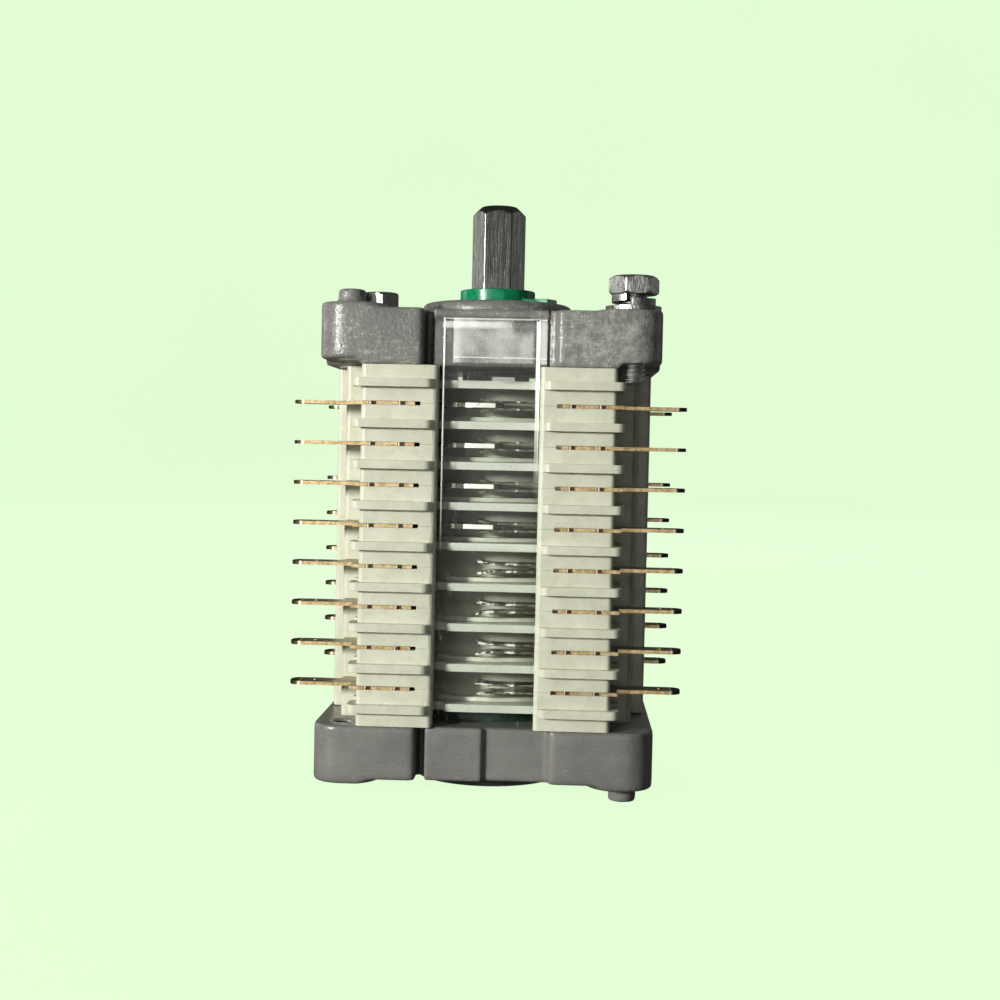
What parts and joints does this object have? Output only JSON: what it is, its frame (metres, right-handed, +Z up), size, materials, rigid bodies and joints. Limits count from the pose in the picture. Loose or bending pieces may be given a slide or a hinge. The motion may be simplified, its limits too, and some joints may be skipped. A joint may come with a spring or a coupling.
{
  "type": "rotary auxiliary switch",
  "caption": "Rotary auxiliary switch: stacked cream contact decks between two grey castings, with plug tabs on both sides and a hexagon drive shaft.",
  "frame": {"origin": "on the shaft axis, level with the underside of the lower hub and pegs", "axes": "+Z up along the shaft, -Y to the front window, +X to the right-hand tabs"},
  "size_m": [0.0876, 0.0718, 0.1356],
  "materials": {
    "casting_paint": "semi-gloss grey paint over a die casting",
    "cream_moulding": "cream moulding compound, slightly satin",
    "clear_cover": "clear moulded plastic",
    "drawn_steel": "bright drawn hexagon bar",
    "green_bush": "green moulded plastic",
    "rotor_plastic": "pale grey-green moulded plastic",
    "spring_bronze": "toned spring bronze",
    "spring_steel": "dark spring steel",
    "silvered_contact": "silvered contact metal",
    "terminal_brass": "toned brass plug tabs",
    "zinc_plated_steel": "bright zinc plating"
  },
  "bodies": {
    "housing": {"bottom_end_casting": "casting_paint", "top_end_casting": "casting_paint", "deck_frame_1": "cream_moulding", "deck_frame_2": "cream_moulding", "deck_frame_3": "cream_moulding", "deck_frame_4": "cream_moulding", "deck_frame_5": "cream_moulding", "deck_frame_6": "cream_moulding", "deck_frame_7": "cream_moulding", "deck_frame_8": "cream_moulding", "deck_frame_9": "cream_moulding", "left_side_cover": "cream_moulding", "right_side_cover": "cream_moulding", "front_window": "clear_cover", "rear_window": "clear_cover", "rivets": "silvered_contact", "contact_springs_1": "spring_bronze", "contact_springs_2": "spring_bronze", "contact_springs_3": "spring_bronze", "contact_springs_4": "spring_bronze", "contact_springs_5": "spring_bronze", "contact_springs_6": "spring_bronze", "contact_springs_7": "spring_bronze", "contact_springs_8": "spring_bronze", "terminals_1": "terminal_brass", "terminals_2": "terminal_brass", "terminals_3": "terminal_brass", "terminals_4": "terminal_brass", "terminals_5": "terminal_brass", "terminals_6": "terminal_brass", "terminals_7": "terminal_brass", "terminals_8": "terminal_brass", "mounting_bolt": "zinc_plated_steel", "spring_washer": "zinc_plated_steel", "flat_washer": "zinc_plated_steel", "tie_bolts": "zinc_plated_steel", "tie_washers": "zinc_plated_steel"},
    "rotor": {"drive_shaft": "drawn_steel", "top_bush": "green_bush", "bottom_bush": "green_bush", "retaining_ring": "spring_steel", "contact_carrier_1": "rotor_plastic", "contact_carrier_2": "rotor_plastic", "contact_carrier_3": "rotor_plastic", "contact_carrier_4": "rotor_plastic", "contact_carrier_5": "rotor_plastic", "contact_carrier_6": "rotor_plastic", "contact_carrier_7": "rotor_plastic", "contact_carrier_8": "rotor_plastic", "contact_blades_1": "silvered_contact", "contact_blades_2": "silvered_contact", "contact_blades_3": "silvered_contact", "contact_blades_4": "silvered_contact", "contact_blades_5": "silvered_contact", "contact_blades_6": "silvered_contact", "contact_blades_7": "silvered_contact", "contact_blades_8": "silvered_contact"}
  },
  "joints": [
    {"name": "shaft_turn", "type": "hinge", "parent": "housing", "child": "rotor", "pos_m": [0, 0, 0.06], "axis": [0, 0, 1], "range_deg": [0, 60]}
  ]
}
